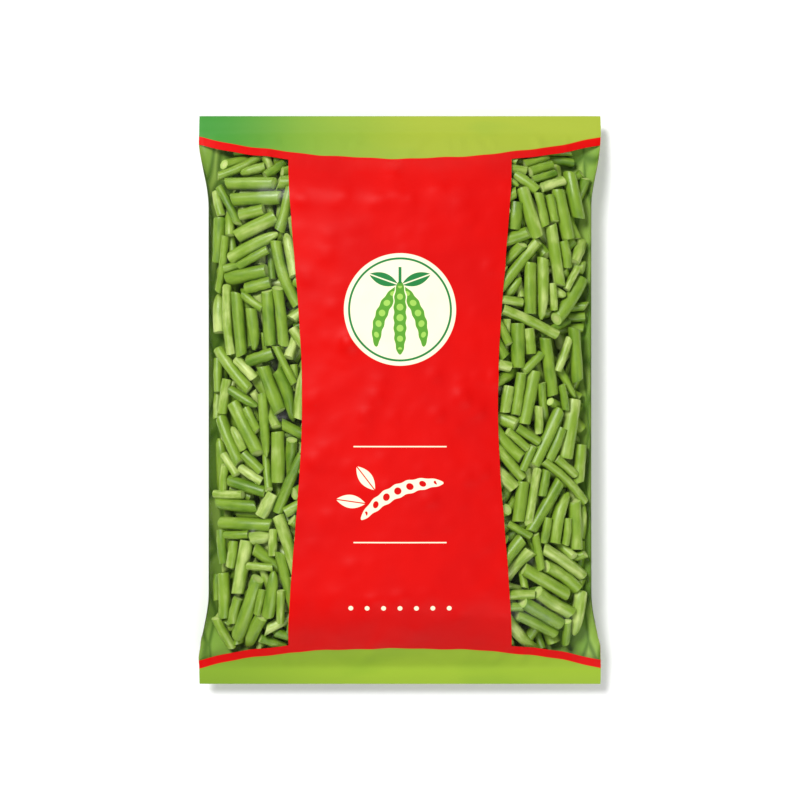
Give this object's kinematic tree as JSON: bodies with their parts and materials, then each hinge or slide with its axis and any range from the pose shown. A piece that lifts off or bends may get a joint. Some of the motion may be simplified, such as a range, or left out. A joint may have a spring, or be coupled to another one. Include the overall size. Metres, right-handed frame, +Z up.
{
  "type": "bag of cut green beans",
  "caption": "Heat-sealed pillow bag of clear and printed film, filled with cut green beans, lying on its back with its flat end seals and lapped back seam.",
  "frame": {"origin": "middle of the bag's footprint, on the surface that it lies on", "axes": "+X to the bag's right, +Y to its top end seal, +Z up through its front"},
  "size_m": [0.3006, 0.425, 0.06],
  "materials": {
    "bag_film": "satin polyethylene film, printed red and green, clear at the windows",
    "bean_skin": "waxy bean skin, satin, with paler cut ends"
  },
  "bodies": {
    "root": {"film_web": "bag_film", "bean_fill": "bean_skin", "bean_01": "bean_skin", "bean_02": "bean_skin", "bean_03": "bean_skin", "bean_04": "bean_skin", "bean_05": "bean_skin", "bean_06": "bean_skin", "bean_07": "bean_skin", "bean_08": "bean_skin", "bean_09": "bean_skin", "bean_10": "bean_skin", "bean_11": "bean_skin", "bean_12": "bean_skin", "bean_13": "bean_skin", "bean_14": "bean_skin", "bean_15": "bean_skin", "bean_16": "bean_skin", "bean_17": "bean_skin", "bean_18": "bean_skin", "bean_19": "bean_skin", "bean_20": "bean_skin", "bean_21": "bean_skin", "bean_22": "bean_skin", "bean_23": "bean_skin", "bean_24": "bean_skin", "bean_25": "bean_skin", "bean_26": "bean_skin", "bean_27": "bean_skin", "bean_28": "bean_skin", "bean_29": "bean_skin", "bean_30": "bean_skin", "bean_31": "bean_skin", "bean_32": "bean_skin", "bean_33": "bean_skin", "bean_34": "bean_skin", "bean_35": "bean_skin", "bean_36": "bean_skin", "bean_37": "bean_skin", "bean_38": "bean_skin", "bean_39": "bean_skin", "bean_40": "bean_skin", "bean_41": "bean_skin", "bean_42": "bean_skin"}
  },
  "joints": []
}
